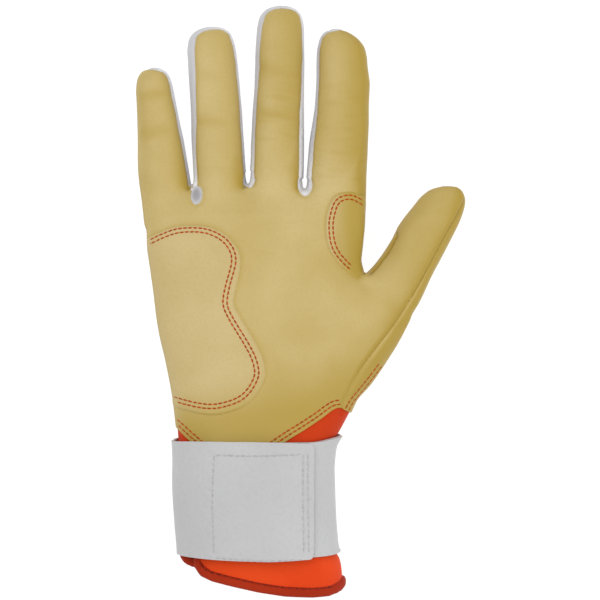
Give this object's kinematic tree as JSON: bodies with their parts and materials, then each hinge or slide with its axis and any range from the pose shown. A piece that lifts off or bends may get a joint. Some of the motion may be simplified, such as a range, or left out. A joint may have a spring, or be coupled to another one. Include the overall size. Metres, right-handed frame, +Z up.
{
  "type": "batting glove",
  "caption": "Right-hand long-cuff batting glove lying palm up: tan leather palm and fingers, white side strips, orange cuff and a white wrist strap.",
  "frame": {"origin": "on the bench under the middle of the glove's box, the glove lying on its back", "axes": "+X to the thumb side, +Y to the fingertips, +Z up out of the palm"},
  "size_m": [0.1455, 0.2551, 0.0478],
  "materials": {
    "tan_leather": "soft grained leather",
    "patch_leather": "soft grained leather",
    "white_leather": "smooth synthetic leather",
    "stretch_cloth": "ribbed stretch cloth",
    "orange_cuff": "stretch cuff cloth",
    "orange_hem": "turned hem",
    "strap_white": "smooth strap",
    "hook_and_loop": "hook-and-loop tape"
  },
  "bodies": {
    "hand": {"palm_panel": "tan_leather", "heel_patch": "patch_leather", "index_patch": "patch_leather", "thumb_side_panel": "tan_leather", "back_panel": "white_leather", "knuckle_panel": "stretch_cloth", "knuckle_yoke": "white_leather", "crotch_gusset_pinky_ring": "white_leather", "crotch_gusset_ring_middle": "white_leather", "crotch_gusset_middle_index": "white_leather", "cuff_front": "orange_cuff", "cuff_back": "orange_cuff", "hem_front": "orange_hem", "hem_back": "orange_hem", "strap_band": "strap_white", "loop_strip": "hook_and_loop"},
    "tab": {"strap_tab": "strap_white", "hook_strip": "hook_and_loop"},
    "pinky": {"pinky_front": "tan_leather", "pinky_back": "white_leather", "pinky_fourchette_radial": "white_leather"},
    "ring": {"ring_front": "tan_leather", "ring_back": "white_leather", "ring_fourchette_ulnar": "white_leather", "ring_fourchette_radial": "white_leather"},
    "middle": {"middle_front": "tan_leather", "middle_back": "white_leather", "middle_fourchette_ulnar": "white_leather", "middle_fourchette_radial": "white_leather"},
    "index": {"index_front": "tan_leather", "index_back": "white_leather", "index_fourchette_ulnar": "white_leather"},
    "thumb": {"thumb_front": "tan_leather", "thumb_back": "tan_leather", "thumb_gusset": "tan_leather"}
  },
  "joints": [
    {"name": "pinky_flex", "type": "hinge", "parent": "hand", "child": "pinky", "pos_m": [-0.05955, 0.04511, 0.0198], "axis": [0.994, 0.1097, 0], "range_deg": [0, 80]},
    {"name": "ring_flex", "type": "hinge", "parent": "hand", "child": "ring", "pos_m": [-0.03525, 0.04691, 0.0213], "axis": [0.9977, 0.068, 0], "range_deg": [0, 80]},
    {"name": "middle_flex", "type": "hinge", "parent": "hand", "child": "middle", "pos_m": [-0.01085, 0.04761, 0.0218], "axis": [0.9996, -0.0279, 0], "range_deg": [0, 80]},
    {"name": "index_flex", "type": "hinge", "parent": "hand", "child": "index", "pos_m": [0.01535, 0.04561, 0.0218], "axis": [0.9984, -0.0558, 0], "range_deg": [0, 80]},
    {"name": "thumb_flex", "type": "hinge", "parent": "hand", "child": "thumb", "pos_m": [0.03935, 0.00261, 0.0273], "axis": [0.8625, -0.506, 0], "range_deg": [0, 60]},
    {"name": "strap_peel", "type": "hinge", "parent": "hand", "child": "tab", "pos_m": [-0.05595, -0.08779, 0.021], "axis": [0, -1, 0], "range_deg": [0, 150]}
  ]
}
